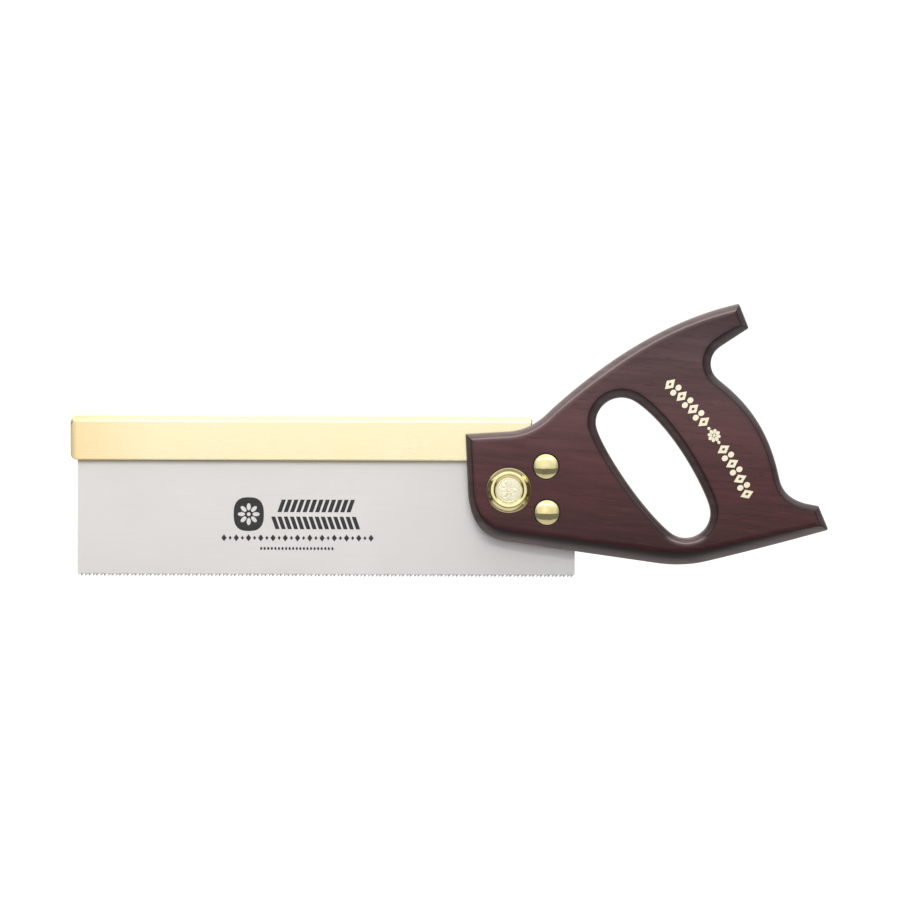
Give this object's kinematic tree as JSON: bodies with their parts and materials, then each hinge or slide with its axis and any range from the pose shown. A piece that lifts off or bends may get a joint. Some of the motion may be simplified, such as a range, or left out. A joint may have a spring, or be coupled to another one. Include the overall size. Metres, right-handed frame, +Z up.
{
  "type": "tenon saw",
  "caption": "Short back saw: a fine-toothed steel plate stiffened by a folded brass back, in a closed, flat-sided hardwood handle held by brass screws and slotted nuts.",
  "frame": {"origin": "middle of the handle's grip, in the plane of the saw plate", "axes": "+Z up with the teeth down, +X along the saw from toe to handle, +Y through the handle's thickness away from the screw heads and towards the slotted nuts"},
  "size_m": [0.3873, 0.0244, 0.1402],
  "materials": {
    "blade_steel": "ground lengthwise, satin",
    "back_brass": "lightly brushed lengthwise, bright",
    "handle_wood": "dark red-brown stained hardwood under satin lacquer",
    "polished_brass": "polished",
    "struck_brass": "struck, bright",
    "blade_print": "dark etched or printed ornament on the plate",
    "gold_foil": "hot-foil gold ornament pressed on the grip"
  },
  "bodies": {
    "root": {"saw_plate": "blade_steel", "brass_back": "back_brass", "handle": "handle_wood", "medallion_screw": "polished_brass", "medallion_disc": "struck_brass", "medallion_nut": "polished_brass", "upper_screw": "polished_brass", "upper_nut": "polished_brass", "lower_screw": "polished_brass", "lower_nut": "polished_brass"}
  },
  "joints": []
}
